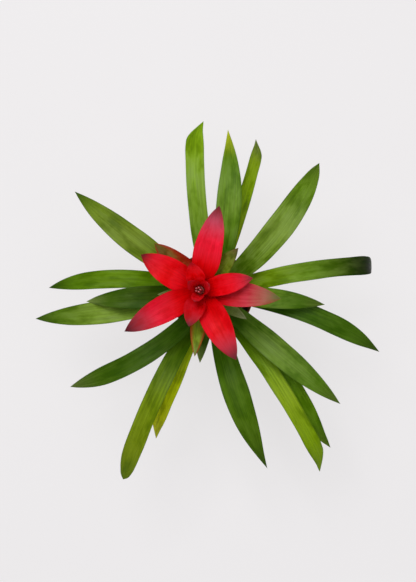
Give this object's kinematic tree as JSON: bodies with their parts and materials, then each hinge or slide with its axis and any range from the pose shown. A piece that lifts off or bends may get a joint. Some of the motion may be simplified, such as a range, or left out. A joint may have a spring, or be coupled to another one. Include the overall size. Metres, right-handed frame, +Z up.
{
  "type": "potted bromeliad",
  "caption": "Bromeliad with arching strap leaves and a red star of bracts on a leaning stalk, rooted in a plain round nursery pot.",
  "frame": {"origin": "centre of the pot's flat base, on the surface it stands on", "axes": "+Z up along the pot's axis, +Y towards the leaf named north, +X towards the leaf named east"},
  "size_m": [0.4463, 0.46, 0.3104],
  "materials": {
    "pot_plastic": "matte moulded plastic, terracotta brown",
    "potting_mix": "rough, bark and peat",
    "rootstock": "matte, woody",
    "stalk": "satin living stem",
    "leaf": "satin living leaf with fine lengthwise veins",
    "stalk_bract": "satin living bract, olive with red edges",
    "red_bract": "satin living bract, scarlet",
    "flower": "satin petal tips, pinkish white"
  },
  "bodies": {
    "root": {"cup_bract_east": "red_bract", "cup_bract_south": "red_bract", "cup_bract_west": "red_bract", "flower_1": "flower", "flower_2": "flower", "flower_3": "flower", "flower_4": "flower", "flower_5": "flower", "flower_stalk": "stalk", "heart_bract_north": "red_bract", "heart_bract_south": "red_bract", "leaf_east": "leaf", "leaf_east_lower": "leaf", "leaf_east_upper": "leaf", "leaf_north": "leaf", "leaf_north_lower": "leaf", "leaf_north_upper": "leaf", "leaf_northeast": "leaf", "leaf_northwest": "leaf", "leaf_south": "leaf", "leaf_south_lower": "leaf", "leaf_south_southwest": "leaf", "leaf_southeast_long": "leaf", "leaf_southeast_lower": "leaf", "leaf_southeast_upper": "leaf", "leaf_southwest_upper": "leaf", "leaf_west": "leaf", "leaf_west_lower": "leaf", "leaf_west_upper": "leaf", "nursery_pot": "pot_plastic", "potting_mix": "potting_mix", "rootstock": "rootstock", "stalk_bract_1": "stalk_bract", "stalk_bract_10": "stalk_bract", "stalk_bract_2": "stalk_bract", "stalk_bract_3": "stalk_bract", "stalk_bract_4": "stalk_bract", "stalk_bract_5": "stalk_bract", "stalk_bract_6": "stalk_bract", "stalk_bract_7": "stalk_bract", "stalk_bract_8": "stalk_bract", "stalk_bract_9": "stalk_bract", "star_bract_east_lower": "red_bract", "star_bract_east_upper": "red_bract", "star_bract_north": "red_bract", "star_bract_northwest": "red_bract", "star_bract_south": "red_bract", "star_bract_west": "red_bract"}
  },
  "joints": []
}
